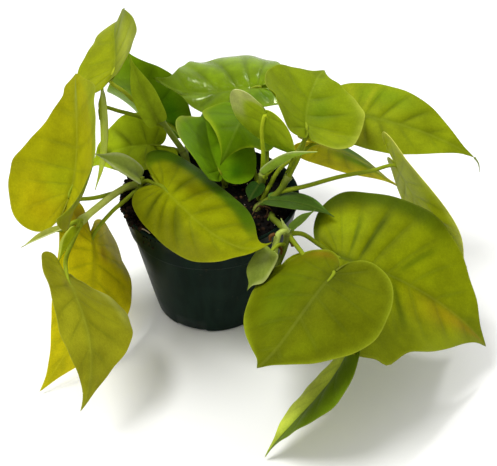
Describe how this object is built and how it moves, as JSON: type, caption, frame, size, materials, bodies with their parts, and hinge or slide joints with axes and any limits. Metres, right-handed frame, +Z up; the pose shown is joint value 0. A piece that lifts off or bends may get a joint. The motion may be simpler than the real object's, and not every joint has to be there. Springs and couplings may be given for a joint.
{
  "type": "potted golden pothos",
  "caption": "Young trailing houseplant with drooping heart-shaped chartreuse leaves, growing in soil in a round dark green nursery pot that stands on its flat foot.",
  "frame": {"origin": "centre of the pot's flat underside, on the ground", "axes": "+Z up along the pot's axis; -Y is the front, the side that the picture shows; +X is to the right seen from the front"},
  "size_m": [0.2945, 0.2699, 0.1925],
  "materials": {
    "pot_plastic": "dark green moulded plastic, satin",
    "peat_soil": "damp peat, rough",
    "stem_green": "living plant skin, satin",
    "leaf_yellow": "living plant skin, satin",
    "leaf_chartreuse": "living plant skin, satin",
    "leaf_lime": "living plant skin, satin",
    "leaf_olive": "living plant skin, satin",
    "leaf_dark": "living plant skin, satin",
    "sheath_green": "living plant skin, satin"
  },
  "bodies": {
    "root": {"Pot": "pot_plastic", "Soil": "peat_soil", "Vine_left": "stem_green", "Vine_back": "stem_green", "Vine_centre": "stem_green", "Vine_middle": "stem_green", "Vine_right": "stem_green", "Vine_front": "stem_green", "Leaf_upper_left": "leaf_chartreuse", "Leaf_left_large": "leaf_yellow", "Leaf_left_behind": "leaf_olive", "Leaf_left_quilted": "leaf_chartreuse", "Leaf_back_dark": "leaf_dark", "Leaf_back_narrow": "leaf_olive", "Leaf_top": "leaf_lime", "Leaf_top_right": "leaf_chartreuse", "Leaf_olive_folded": "leaf_olive", "Leaf_right_back": "leaf_lime", "Leaf_right_underside": "leaf_olive", "Leaf_right_edge": "leaf_olive", "Leaf_right_large": "leaf_chartreuse", "Leaf_front_heart": "leaf_olive", "Leaf_front_hanging": "leaf_dark", "Leaf_centre_yellow": "leaf_yellow", "Leaf_left_low": "leaf_yellow", "Leaf_left_front": "leaf_chartreuse", "Leaf_centre_small": "leaf_lime", "Leaf_centre_pointed": "leaf_lime", "Leaf_right_dark": "leaf_dark", "Leaf_middle_small": "leaf_dark", "Leaf_hidden_back": "leaf_lime", "Sheath_left_back": "sheath_green", "Sheath_left_front": "sheath_green", "Spear_left": "sheath_green", "Sheath_middle": "sheath_green", "Spear_front": "sheath_green", "Sheath_front": "sheath_green"}
  },
  "joints": []
}
